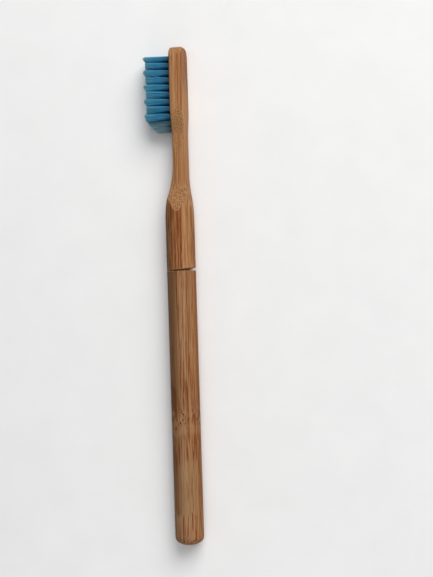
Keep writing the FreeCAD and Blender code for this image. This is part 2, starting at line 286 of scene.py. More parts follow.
# Bands round the handle, as shares of a turn that start and end underneath
HANDLE_STOPS = (
    (0.000, MID), (0.045, TAN), (0.110, LIGHT), (0.130, ORANGE), (0.145, MID),
    # The darker stops, on the side that faces the bristles, are partly the bamboo's own tone
    # and partly painted shade
    (0.250, SHADE), (0.310, DEEP_SHADE), (0.380, DEEP_SHADE), (0.405, SHADE), (0.432, SHADE),
    (0.468, TAN), (0.500, LIGHT), (0.570, LIGHT), (0.590, AMBER), (0.610, AMBER),
    (0.622, TAN), (0.634, AMBER), (0.648, TAN), (0.660, AMBER), (0.685, AMBER),
    (0.710, ORANGE), (0.755, ORANGE), (0.800, MID), (0.880, TAN), (1.000, MID),
)

# Bands round the shank of the head, as shares of a turn too
SHANK_STOPS = (
    # The darkest stops, on the side that faces the bristles, are partly the bamboo's own tone
    # and partly painted shade
    (0.000, HONEY), (0.100, ORANGE), (0.120, HONEY), (0.280, DEEPEST_SHADE), (0.360, DEEPEST_SHADE),
    (0.385, DEEP_SHADE), (0.412, SHADE), (0.421, RUST), (0.433, RUST), (0.444, AMBER),
    (0.460, ORANGE), (0.474, AMBER), (0.490, AMBER), (0.499, RUST), (0.512, ORANGE),
    (0.522, RUST), (0.542, RUST), (0.552, HONEY), (0.565, WHEAT), (0.608, WHEAT),
    (0.617, AMBER), (0.627, WHEAT), (0.655, HONEY), (0.665, WHEAT), (0.690, WHEAT),
    (0.700, ORANGE), (0.712, AMBER), (0.740, ORANGE), (0.760, HONEY), (1.000, HONEY),
)

# Bands through the head, as shares of its depth from the bristle side to the back
HEAD_STOPS = (
    # Next to the bristles the head is darker, painted shade under them
    (0.000, SHADE), (0.352, SHADE), (0.400, MID), (0.414, HONEY), (0.428, ORANGE),
    (0.440, HONEY), (0.480, GOLD), (0.520, GOLD), (0.535, ORANGE), (0.550, HONEY),
    (0.600, GOLD), (0.650, GOLD), (0.665, HONEY), (0.690, GOLD), (0.705, ORANGE),
    (0.730, ORANGE), (0.745, GOLD), (0.790, HONEY), (0.832, ORANGE), (0.850, GOLD),
    (0.890, GOLD), (0.908, ORANGE), (0.930, HONEY), (1.000, MID),
)

# The plainest lines, each as its middle, half its width and its strength. Those of the flat
# head are shares of its depth, and the others are shares of a turn.
HEAD_PALES = ((0.425, 0.030, 0.35), (0.570, 0.075, 0.50), (0.715, 0.050, 0.50))
HEAD_MARKS = (
    (0.375, 0.018, 0.40), (0.486, 0.016, 0.60), (0.655, 0.014, 0.65), (0.775, 0.022, 0.85),
)
SHANK_MARKS = (
    (0.426, 0.011, 0.85), (0.462, 0.010, 0.50), (0.505, 0.012, 0.70), (0.532, 0.010, 0.65),
    (0.617, 0.008, 0.35), (0.672, 0.007, 0.30), (0.722, 0.012, 0.60),
)
HANDLE_MARKS = (
    (0.468, 0.013, 1.00), (0.535, 0.007, 0.60), (0.584, 0.012, 0.80), (0.634, 0.008, 0.70),
    (0.664, 0.008, 0.70), (0.735, 0.012, 0.70),
)
KNOT_DARKS = (
    (0.545, 0.008, 0.60), (0.563, 0.010, 0.75), (0.645, 0.009, 0.55), (0.680, 0.008, 0.50),
)
KNOT_PALES = ((0.590, 0.014, 0.55), (0.660, 0.010, 0.45))

# How far the lines of the shank and the handle follow the wandering fibres
LINES_FOLLOW = 0.012

# Noises stretched along the fibres: how many to a millimetre across, the share of that
# along, the detail and the roughness
STRANDS = {
    "broad": (0.45, 0.020, 2.0, 0.5),
    "calm": (0.38, 0.060, 2.0, 0.5),
    "streaks": (1.1, 0.014, 2.0, 0.55),
    "lines": (1.9, 0.010, 1.0, 0.5),
    "threads": (2.7, 0.014, 1.0, 0.5),
    "fine": (4.2, 0.022, 2.0, 0.6),
    "hair": (15.0, 0.05, 1.0, 0.5),
    "grain": (9.0, 0.5, 2.0, 0.7),
}

# How they colour the wood, in this order: the noise, the values between which it sets in,
# the tone, its strength, and whether it fades in calm places and cross cuts
STRAND_TONES = (
    ("streaks", 0.45, 0.36, "light", 0.35, False),
    ("streaks", 0.56, 0.64, "orange", 0.35, True),
    ("lines", 0.45, 0.39, "light", 0.45, False),
    ("lines", 0.555, 0.59, "orange", 0.90, True),
    ("threads", 0.57, 0.61, "dark", 0.75, True),
    ("fine", 0.54, 0.59, "orange", 0.75, True),
    ("fine", 0.46, 0.41, "light", 0.55, False),
    ("hair", 0.50, 0.70, "dark", 0.16, False),
    ("grain", 0.55, 0.72, "dark", 0.14, False),
)

# Where the broad noise goes from mid to light, and how strong the bands are over it, on a side
# of the wood and in a cross cut
BROAD_SPAN = (0.40, 0.60)
BANDS_ON_A_SIDE = 0.76
BANDS_IN_A_CUT = 0.16

# What makes the late lines ragged: the fine strands and a share of the hair, where a line
# becomes whole, and what is left of it before that
RAGGED_HAIR = 0.4
RAGGED_SPAN = (0.60, 0.74)
RAGGED_SHARE = 0.45

# How the strands and the dots raise and roughen the surface
FINE_HEIGHT, HAIR_HEIGHT, DOT_HEIGHT = 0.5, 0.35, -0.45
BUMP_STRENGTH = 0.45
BUMP_DISTANCE = 0.08 * MM
EVEN_ROUGHNESS, DOT_ROUGHNESS, STREAK_ROUGHNESS = 0.50, 0.12, 0.16
WOOD_SPECULAR = 0.10


# Bamboo


class Wood(Solid):
    # Fibres that wander slowly along the brush, neighbours alike
    def __init__(self, name, seed):
        super().__init__(name)
        self.seed = seed
        slow_across, slow_along, reach = 0.11, 0.017, 2.2
        slow = self.vector(
            self.times(self.across, slow_across),
            self.add(self.times(self.along, slow_along), seed),
            self.times(self.up, slow_across),
        )
        wander = self.split(self.noise(slow, detail=1.0, output="Color"))
        self.shift = self.centred(wander[0], reach)
        self.fibre_x = self.add(self.across, self.shift)
        self.fibre_z = self.add(self.up, self.centred(wander[2], reach))

    def fibrous(self, scale, along, detail, roughness):
        # A noise over the fibres, at a place along them
        place = self.vector(
            self.times(self.fibre_x, scale), along, self.times(self.fibre_z, scale)
        )
        return self.noise(place, detail, roughness)

    def strands(self, scale, stretch, detail, roughness):
        seed_spread = 3.1
        along = self.add(self.times(self.along, scale * stretch), self.seed * seed_spread)
        return self.fibrous(scale, along, detail, roughness)

    def turn(self, follow=0.0, lean=0.0):
        # The angle about the axis as a share of a turn, with the top at a half. It may follow
        # the wandering fibres, and drift along the brush by a lean that starts at the pivot.
        pivot = 100
        share = self.times(self.math("ARCTAN2", self.across, self.up), 1 / (2 * math.pi))
        share = self.add(share, self.add(self.times(self.along, lean), 0.5 - pivot * lean))
        return self.add(share, self.times(self.shift, follow))

    def depth(self, follow, slope, pivot):
        # The place from the bristle side to the back as a share of the span, with the axis at
        # a half. It may drift along the brush by a slope that starts at the pivot.
        span = 12
        place = self.add(self.across, self.times(self.add(self.along, -pivot), slope))
        place = self.add(place, self.times(self.shift, follow))
        return self.add(self.times(place, 1 / span), 0.5)

    def end_cut(self):
        # How squarely the surface cuts across the fibres. By the two ends of the brush, only
        # a steeper surface counts as a cut.
        toe_span, butt_span = (170, 180), (20, 10)
        starts_at, full_at = (0.03, 0.2), (0.13, 0.8)
        facing = self.split(self.node("ShaderNodeNewGeometry").outputs["Normal"])
        by_an_end = self.larger(
            self.between(self.along, *toe_span), self.between(self.along, *butt_span)
        )
        return self.between(
            self.math("ABSOLUTE", facing[1]),
            self.blend(by_an_end, *starts_at),
            self.blend(by_an_end, *full_at),
        )


def add_strands(wood, colour, strands, tones, whole):
    # Calm places and cross cuts leave only these shares of the strands that fade
    calm_span, calm_share, cut_share = (0.42, 0.58), 0.30, 0.15
    calm = wood.between(strands["calm"], *calm_span, calm_share, 1.0)
    busy = wood.times(calm, wood.blend(whole, cut_share, 1.0))
    for key, low, high, tone, strength, fades in STRAND_TONES:
        shares = [wood.between(strands[key], low, high), strength]
        if fades:
            shares.append(busy)
        colour = wood.tint(colour, tones[tone], *shares)
    return colour


def add_bundles(wood, colour, tones, cut, slant):
    # Fibre bundles: dark dots in a cross cut, and long faint dashes along a side. The slant
    # draws the dots out where it changes along the brush.
    per_mm_across, per_mm_up = 1.3, 2.6
    dot_edge, ground_edge, missing = (0.32, 0.20), (0.34, 0.50), (0.06, 0.16)
    ground_strength, paler, darker = 0.70, 0.6, 0.7
    on_a_side, in_a_cut = 0.22, 0.80
    place = wood.vector(
        wood.add(wood.times(wood.fibre_x, per_mm_across), wood.seed),
        wood.add(wood.times(wood.fibre_z, per_mm_up), slant),
        0.0,
    )
    middle, chance = wood.cells(place, randomness=0.75, dimensions="2D")
    between_dots = wood.times(wood.between(middle, *ground_edge), cut, paler)
    ground = wood.mix(between_dots, MID, TAN)
    colour = wood.tint(colour, ground, cut, ground_strength)
    dot = wood.times(wood.between(middle, *dot_edge), wood.between(chance[0], *missing))
    deep = wood.mix(wood.times(chance[1], darker), tones["orange"], tones["dark"])
    return wood.tint(colour, deep, dot, wood.blend(cut, on_a_side, in_a_cut)), dot


def bamboo(name, seed, tones, bands, early=None, askew=None, late=None, knot=None):
    # Bamboo as a solid, whose fibres show as lines on its sides and as dots where it is cut
    # across. The bands give its broad tones. Early repaints them, askew adds places where it
    # is sawn aslant, late paints over the strands, and knot adds the node of the culm.
    wood = Wood(name, seed)
    strands = {key: wood.strands(*shape) for key, shape in STRANDS.items()}
    cut, slant = wood.end_cut(), 0.0
    if askew is not None:
        cut, slant = askew(wood, cut)
    whole = wood.add(wood.times(cut, -1.0), 1.0)

    tone = wood.mix(wood.between(strands["broad"], *BROAD_SPAN), tones["mid"], tones["light"])
    colour = wood.mix(wood.blend(cut, BANDS_ON_A_SIDE, BANDS_IN_A_CUT), tone, bands(wood))
    if early is not None:
        colour = early(wood, colour, whole)
    colour = add_strands(wood, colour, strands, tones, whole)
    if late is not None:
        torn = wood.add(strands["fine"], wood.times(strands["hair"], RAGGED_HAIR))
        ragged = wood.times(whole, wood.between(torn, *RAGGED_SPAN, RAGGED_SHARE, 1.0))
        colour = late(wood, colour, ragged)
    colour, dot = add_bundles(wood, colour, tones, cut, slant)

    height = wood.add(
        wood.times(strands["fine"], FINE_HEIGHT), wood.times(strands["hair"], HAIR_HEIGHT)
    )
    height = wood.add(height, wood.times(dot, DOT_HEIGHT))
    if knot is not None:
        colour, height = knot(wood, colour, height)
    roughness = wood.add(wood.times(dot, DOT_ROUGHNESS), EVEN_ROUGHNESS)
    roughness = wood.add(wood.times(strands["streaks"], STREAK_ROUGHNESS), roughness)
    wood.surface({
        "Base Color": colour,
        "Roughness": roughness,
        "Specular IOR Level": WOOD_SPECULAR,
        "Normal": wood.bump(height, BUMP_STRENGTH, BUMP_DISTANCE),
    })
    return wood.material


# The head's own places

SHANK_SPAN = (133.0, 126.0)


def head_bands(wood):
    return wood.ramp(wood.depth(follow=0.4, slope=-0.012, pivot=108.0), HEAD_STOPS)


def shank_bands(wood, colour, whole):
    # The round shank is redder than the flat head, in bands that the turning laid open
    strength = 0.90
    tone = wood.ramp(wood.turn(follow=0.018, lean=-0.0002), SHANK_STOPS)
    return wood.tint(colour, tone, wood.between(wood.along, *SHANK_SPAN), whole, strength)


def sawn_askew(wood, cut):
    # The neck and the toe are sawn a little across the fibres, which shows as patches of
    # short dashes. The slant also runs over the shoulder, where the wood is cut anyway.
    neck_side = (1.7, 0.9)
    neck_lean, neck_pivot, neck_share = -0.05, 160.0, 0.65
    neck_toe, neck_heel = (169.5, 166.5), (148.5, 153.5)
    toe_side, toe_span = (1.6, 0.8), (187.2, 187.9)
    shoulder_slant = (126.0, 141.0, 0.0, -3.0)
    neck_slant = (148.0, 170.0, 0.0, 11.0)
    toe_slant = (186.0, 191.0, 0.0, 3.0)

    leaning = wood.times(wood.add(wood.along, -neck_pivot), neck_lean)
    neck = wood.times(
        wood.between(wood.add(wood.across, leaning), *neck_side),
        wood.between(wood.along, *neck_heel),
        wood.between(wood.along, *neck_toe),
        neck_share,
    )
    toe = wood.times(wood.between(wood.along, *toe_span), wood.between(wood.across, *toe_side))
    slant = 0.0
    for places in (neck_slant, shoulder_slant, toe_slant):
        slant = wood.add(slant, wood.between(wood.along, *places))
    return wood.larger(cut, wood.larger(neck, toe)), slant


def head_lines(wood, colour, ragged):
    # The neck is plain. The flat head and the shank have the plainest lines, and those of
    # the flat head stay on its two sides.
    neck_rise, neck_fall, neck_strength = (133.0, 141.0), (166.0, 156.0), 0.30
    flat_span, side_span = (146.0, 156.0), (3.9, 4.7)
    neck = (wood.between(wood.along, *neck_rise), wood.between(wood.along, *neck_fall))
    colour = wood.tint(colour, NECK_TONE, *neck, neck_strength)

    side = wood.between(wood.math("ABSOLUTE", wood.up), *side_span)
    flat = wood.times(wood.between(wood.along, *flat_span), ragged, side)
    depth = wood.depth(follow=0.25, slope=-0.03, pivot=178.9)
    colour = wood.tint(colour, GOLD, wood.lines(depth, HEAD_PALES), flat)
    colour = wood.tint(colour, COPPER, wood.lines(depth, HEAD_MARKS), flat)

    lines = wood.lines(wood.turn(LINES_FOLLOW), SHANK_MARKS)
    return wood.tint(colour, RUST, lines, wood.between(wood.along, *SHANK_SPAN), ragged)


# The handle's own places

# Stretches and sides about the node. Each stretch of flames has its strength as well.
NODE_STRETCH = (45.5, 52.5, 1.4)
RING_STRETCH = (42.6, 45.6, 0.9)
FLAME_STRETCHES = ((34.0, 42.0, 1.6, 1.0), (52.0, 58.0, 1.8, 1.0), (19.0, 26.0, 1.6, 0.6))
STRAW_STRETCH = (12.0, 33.0, 2.5)
STRAW_TURN = (0.45, 0.66, 0.04)
BUTT_SPAN = (13.6, 12.0)
SCORCH_STRETCH = (51.5, 61.5, 1.5)
SCORCH_LOW, SCORCH_HIGH = (0.20, 0.28), (0.445, 0.415)
TONGUE_STRETCH = (42.5, 50.0, 1.5)
TONGUE_TURN = (0.478, 0.528, 0.012)
THROUGH_STRETCH = (41.0, 61.0, 2.0)

# How far noises shift these places along the handle, in millimetres
RING_SHIFT, NODE_SHIFT, FLAME_SHIFT, BUTT_SHIFT = 9.0, 5.0, 22.0, 9.0

# What is painted there, in this order: the place, its pattern, the values of it between
# which the tone sets in, the tone and its strength
KNOT_TONES = (
    ("straw", "plain", (0.0, 1.0), STRAW, 0.42),
    ("node", "plain", (0.0, 1.0), MID, 0.22),
    ("node", "dashes", (0.47, 0.42), LIGHT, 0.80),
    ("node", "dashes", (0.53, 0.58), RUST, 0.75),
    ("ring", "plain", (0.0, 1.0), TAN, 0.55),
    ("ring", "dashes", (0.56, 0.62), RUST, 0.60),
    ("flames", "streaks", (0.53, 0.58), RUST, 0.70),
    ("flames", "streaks", (0.47, 0.43), TAN, 0.50),
    ("butt", "streaks", (0.52, 0.56), RUST, 0.80),
    ("butt", "streaks", (0.49, 0.45), LIGHT, 0.60),
    ("scorch", "plain", (0.0, 1.0), DARK, 0.55),
    ("tongue", "plain", (0.0, 1.0), LIGHT, 0.50),
)
DASH_HEIGHT = 0.9

# The plainest pits of the node: the share of a turn, and the place along the handle
PITS = ((0.507, 50.3), (0.501, 48.2), (0.668, 48.3), (0.470, 46.9))
PIT_HALF_WIDTH = 0.30
PIT_HALF_LENGTH = 0.40
HANDLE_RADIUS = 5.5


def handle_bands(wood):
    return wood.ramp(wood.turn(follow=0.022, lean=-0.00046), HANDLE_STOPS)


def handle_lines(wood, colour, ragged):
    # The plainest lines, which draw together from the mouth to the node, the darker side that
    # faces the bristles, partly its own tone and partly painted shade, and painted shade at
    # the back
    pinch_turn, pinch_span, pinch_most = 0.53, (102.0, 56.0), 2.1
    fade_span = (57.0, 63.0)
    side_low, side_high = (0.25, 0.32), (0.492, 0.448)
    side_span, side_strengths = (36.0, 50.0), (0.42, 0.60)
    back_low, back_high, back_strength = (0.655, 0.695), (0.84, 0.77), 0.30

    turned = wood.turn(LINES_FOLLOW)
    pinch = wood.between(wood.along, *pinch_span, 1.0, pinch_most)
    place = wood.add(wood.times(wood.add(turned, -pinch_turn), pinch), pinch_turn)
    fades = wood.between(wood.along, *fade_span)
    colour = wood.tint(colour, RUST, wood.lines(place, HANDLE_MARKS), fades, ragged)

    # Painted shade over the bamboo's own darker tone, on the side that faces the bristles
    painted_shade_side = (wood.between(turned, *side_low), wood.between(turned, *side_high))
    strength = wood.between(wood.along, *side_span, *side_strengths)
    colour = wood.tint(colour, SHADE, *painted_shade_side, strength)
    # Painted shade along the back edge, in a browner tone
    back_shade = (wood.between(turned, *back_low), wood.between(turned, *back_high))
    return wood.tint(colour, BACK_EDGE_SHADE, *back_shade, back_strength)


def add_pits(wood, colour, height, turned, broken):
    # Where vessels crossed the node: a few small pits, and the plainest at their own places
    small_edge, small_chosen, plain_edge = (0.20, 0.12), (0.60, 0.70), (1.3, 0.5)
    strength, sunk = 0.8, -1.5
    place = wood.scaled(across=0.9, along=0.55, up=0.9)
    middle, chance = wood.cells(place, randomness=1.0, dimensions="3D")
    pit = wood.times(
        wood.between(middle, *small_edge), broken, wood.between(chance[0], *small_chosen)
    )
    for pit_turn, pit_along in PITS:
        sideways = wood.times(wood.add(turned, -pit_turn), 2 * math.pi * HANDLE_RADIUS)
        lengthways = wood.add(wood.along, -pit_along)
        gap = wood.add(
            wood.math("POWER", wood.times(sideways, 1 / PIT_HALF_WIDTH), 2.0),
            wood.math("POWER", wood.times(lengthways, 1 / PIT_HALF_LENGTH), 2.0),
        )
        pit = wood.larger(pit, wood.between(gap, *plain_edge))
    colour = wood.tint(colour, PIT_TONE, pit, strength)
    return colour, wood.add(height, wood.times(pit, sunk))


def handle_knot(wood, colour, height):
    # The culm had its node here: broken fibres, pits, a pale ring below them, and flames of
    # darker fibre that reach out of it both ways and come up from the butt. The skin is
    # scorched above it, low on the side that faces the bristles, and paler farther down.
    slow_scale, slow_place = 0.22, 4.2
    turned = wood.turn()
    round_it = wood.vector(
        wood.times(wood.across, slow_scale), slow_place, wood.times(wood.up, slow_scale)
    )
    slow = wood.noise(round_it)
    jag = wood.fibrous(scale=1.5, along=7.7, detail=2.0, roughness=0.6)
    ring_level = wood.add(wood.along, wood.centred(slow, RING_SHIFT))
    node_level = wood.add(ring_level, wood.centred(jag, NODE_SHIFT))
    flame_level = wood.add(ring_level, wood.centred(jag, FLAME_SHIFT))
    butt_level = wood.add(wood.along, wood.centred(jag, BUTT_SHIFT))
    flames = 0.0
    for low, high, soft, strength in FLAME_STRETCHES:
        flame = wood.times(wood.stretch(flame_level, low, high, soft), strength)
        flames = wood.larger(flames, flame)

    places = {
        "straw": wood.times(
            wood.stretch(flame_level, *STRAW_STRETCH), wood.stretch(turned, *STRAW_TURN)
        ),
        "node": wood.stretch(node_level, *NODE_STRETCH),
        "ring": wood.stretch(node_level, *RING_STRETCH),
        "flames": flames,
        "butt": wood.between(butt_level, *BUTT_SPAN),
        "scorch": wood.times(
            wood.stretch(node_level, *SCORCH_STRETCH),
            wood.between(turned, *SCORCH_LOW),
            wood.between(turned, *SCORCH_HIGH),
        ),
        "tongue": wood.times(
            wood.stretch(node_level, *TONGUE_STRETCH), wood.stretch(turned, *TONGUE_TURN)
        ),
    }
    dashes = wood.fibrous(2.2, wood.times(wood.along, 0.42), detail=2.0, roughness=0.6)
    streaks = wood.fibrous(2.0, wood.times(wood.along, 0.05), detail=2.0, roughness=0.55)
    patterns = {"plain": 1.0, "dashes": dashes, "streaks": streaks}
    for place, pattern, span, tone, strength in KNOT_TONES:
        sets_in = wood.between(patterns[pattern], *span)
        colour = wood.tint(colour, tone, sets_in, places[place], strength)

    # A few fibres run on through the node
    through = wood.stretch(ring_level, *THROUGH_STRETCH)
    for marks, tone in ((KNOT_DARKS, RUST), (KNOT_PALES, TAN)):
        colour = wood.tint(colour, tone, wood.lines(turned, marks), through)
    colour, height = add_pits(wood, colour, height, turned, places["node"])
    return colour, wood.add(height, wood.times(dashes, places["node"], DASH_HEIGHT))


def dress(node, material):
    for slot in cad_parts[node].material_slots:
        slot.material = material


handle_bamboo = bamboo(
    "handle_bamboo", 3.7, HANDLE_TONES, handle_bands, late=handle_lines, knot=handle_knot
)
head_bamboo = bamboo(
    "head_bamboo", 11.3, HEAD_TONES, head_bands,
    early=shank_bands, askew=sawn_askew, late=head_lines,
)
peg_bamboo = bamboo("peg_bamboo", 21.9, HEAD_TONES, head_bands)
dress("handle", handle_bamboo)
dress("head_blank", head_bamboo)
dress("joint_peg", peg_bamboo)


# Anchors: cut from flat metal wire

DRAWN_LINES = (900.0, 900.0, 6000.0)
ANCHOR_STOPS = ((0.3, (0.60, 0.60, 0.61, 1)), (0.7, (0.80, 0.80, 0.79, 1)))

anchor = Graph("anchor_metal")
anchor_place = anchor.node("ShaderNodeTexCoord").outputs["Object"]
anchor_lines = anchor.node("ShaderNodeMapping")
anchor.put(anchor_lines.inputs["Vector"], anchor_place)
anchor.put(anchor_lines.inputs["Scale"], DRAWN_LINES)
anchor_noise = anchor.noise(anchor_lines.outputs[0])
anchor.surface({
    "Base Color": anchor.ramp(anchor_noise, ANCHOR_STOPS),
    "Metallic": 1.0,
    "Roughness": 0.32,
    "Normal": anchor.bump(anchor_noise, 0.2, 0.02 * MM),
})
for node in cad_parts:
    if node.startswith("anchors_"):
        dress(node, anchor.material)


# Nylon

ROOT_SHADE_SPAN = (0.0, 4.5)
TIP_SPAN = (5.0, 10.5)
TIP_STRENGTH = 0.8
BESIDE_SPAN = (159.6, 162.6)
BESIDE_STRENGTH = 0.60
OWN_STRENGTH = 0.30


def nylon(name, shaded_root, body, tip, dark, beside=None):
    # Each filament is a little lighter or darker than the next one. All of them are darker
    # towards the plate, painted shade where the bunches shade one another, and paler at their
    # tips. Beside is what the colour turns towards next to bunches of another colour.
    strand = Solid(name)
    own = strand.node("ShaderNodeAttribute", attribute_name="own_shade").outputs["Fac"]
    height = strand.times(strand.add(strand.across, PLATE_DEPTH_MM), -1.0)
    # Painted shade at the plate, which fades out up the filaments
    colour = strand.mix(strand.between(height, *ROOT_SHADE_SPAN), shaded_root, body)
    colour = strand.tint(colour, tip, strand.between(height, *TIP_SPAN), TIP_STRENGTH)
    if beside is not None:
        share = strand.between(strand.along, *BESIDE_SPAN)
        colour = strand.tint(colour, beside, share, BESIDE_STRENGTH)
    speck = strand.noise(strand.scaled(across=3.0, along=14.0, up=14.0))
    strand.surface({
        "Base Color": strand.tint(colour, dark, own, OWN_STRENGTH),
        "Roughness": strand.add(strand.times(speck, 0.16), 0.26),
        "Specular IOR Level": 0.45,
        "Normal": strand.bump(speck, 0.15, 0.01 * MM),
    })
    return strand.material


# The two nylons, by the names of their slots
NYLONS = {
    "blue_nylon": nylon(
        "blue_nylon",
        shaded_root=paint(22, 88, 128),
        body=paint(56, 146, 186),
        tip=paint(112, 180, 198),
        dark=paint(30, 104, 144),
    ),
    # The heel's grey is painted shade: the heel bunches stand back from the others in shade,
    # and the grey turns blue next to the last blue column
    "grey_nylon": nylon(
        "grey_nylon",
        shaded_root=paint(50, 62, 68),
        body=paint(114, 146, 158),
        tip=paint(164, 197, 208),
        dark=paint(78, 102, 114),
        beside=paint(88, 158, 186),
    ),
}


# Trim line of the bristle field


def column_y(column):
    return FIRST_Y - (column - 1) * PITCH


def row_z(row):
    return AXIS_Z + ROW_PITCH * (row - MIDDLE_ROW)


def eased(share):
    share = min(max(share, 0.0), 1.0)
    return share * share * (3 - 2 * share)


def heel_centre():
    # The middle of the heel's arc, as a height over the plate and a place along Y
    start = Vector((HEEL_TOP, column_y(FULL_COLUMNS)))
    end = Vector((HEEL_HEIGHT, HEEL_LINE))
    chord = end - start
    inward = Vector((-abs(chord.y), abs(chord.x))).normalized()
    return (start + end) / 2 + inward * math.sqrt(HEEL_ROUND**2 - (chord.length / 2) ** 2)


HEEL_CENTRE = heel_centre()


def trim_height(y):
    # How far the bristles stand out of the plate at this place along the head
    first_peak = FIRST_Y + PEAK_LEAD
    if y >= first_peak:
        return PEAK_HEIGHT - TOE_DROP * eased((y - first_peak) / (TOE_LINE - first_peak))
    if y <= HEEL_LINE:
        return HEEL_HEIGHT
    if y <= column_y(FULL_COLUMNS):
        reach = HEEL_ROUND**2 - (y - HEEL_CENTRE.y) ** 2
        return min(HEEL_TOP, HEEL_CENTRE.x + math.sqrt(max(reach, 0.0)))
    for column in range(2, FULL_COLUMNS, 2):
        before = column_y(column - 1) + PEAK_LEAD
        after = column_y(column + 1) + PEAK_LEAD
        if after <= y <= before:
            valley_toe = column_y(column) + VALLEY_TOE_SHARE * PITCH
            valley_heel = column_y(column) - VALLEY_HEEL_SHARE * PITCH
            if y > valley_toe:
                share = eased((y - valley_toe) / (before - valley_toe))
            elif y < valley_heel:
                share = eased((valley_heel - y) / (valley_heel - after))
            else:
                share = 0.0
            return VALLEY_HEIGHT + (PEAK_HEIGHT - VALLEY_HEIGHT) * share
    return PEAK_HEIGHT


# Tufts of filaments

FILAMENT = 0.098 * MM
SIDES = 6
TIP_LENGTH = 0.06 * MM
TIP_SHRINK = 0.55

# Where the filaments stand in their hole: the step from one to the next, the step between
# their lines as a share of it, and how far each may be out of place
PACKING = 0.203 * MM
LINE_SHARE = 0.866
LINES_EACH_WAY = 5
DISTURBED = 0.010
ROOT_REACH = 0.79 * MM - FILAMENT
ROOT_DEPTH = 2.9 * MM

# How far the tips of a bunch reach, how much further they do at the heel, how early the blue
# and the heel bunches flare, and how far a bunch fills the corners of its share of the field.
# In the outer rows, whose open side is given here, the blue bunches stay round on that side.
FLARE_Y = 1.64 * MM - FILAMENT
FLARE_Z = 1.18 * MM - FILAMENT
HEEL_MERGE = 0.30 * MM
BLUE_FLARE = 0.55
HEEL_FLARE = 0.34
CORNER_FILL = 0.7
OPEN_SIDES = {1: -1, 4: 1}
PAST_THE_TOP = 1.05

# How far the tips of a column stand towards the toe, in millimetres
COLUMN_LEANS = {2: 0.2, 5: 0.15, 9: -0.2}

# How far tufts and filaments drift and bow by chance, in millimetres, how many filaments are
# loose, and how unevenly all of them are cut
TUFT_DRIFT_Y = 0.10
TUFT_DRIFT_Z = 0.05
LOOSE_CHANCE = 0.15
LOOSE_DRIFT = 0.14
HELD_DRIFT = 0.05
BOW = 0.04
CUT_SPREAD = 0.07

# Where a filament has its points, as shares of its height, and how its height is found
LEVEL_SHARES = (0.12, 0.3, 0.52, 0.76)
LOWEST_TRIM = 0.4 * MM
TRIM_STEP = 0.05 * MM

# One filament has sprung out over its neighbours on the upper side, in the tuft at this
# column and row: its points out of the plate, towards the toe and up, in millimetres
SPRUNG_TUFT = (4, 4)
SPRUNG_POINTS = (
    (-2.9, -0.2, 0), (0, 0.3, 0.5), (2.8, 0.7, 0.9), (5.5, 1.5, 1.2), (8.1, 3.0, 1.3),
)


def filament_places(chance):
    # A close packing of filaments in the hole, a little disturbed
    places = []
    for line in range(-LINES_EACH_WAY, LINES_EACH_WAY + 1):
        for step in range(-LINES_EACH_WAY, LINES_EACH_WAY + 1):
            a = (step + 0.5 * (line % 2)) * PACKING
            b = line * PACKING * LINE_SHARE
            if math.hypot(a, b) <= ROOT_REACH:
                a += chance.uniform(-DISTURBED, DISTURBED) * MM
                b += chance.uniform(-DISTURBED, DISTURBED) * MM
                places.append((a / ROOT_REACH, b / ROOT_REACH))
    return places


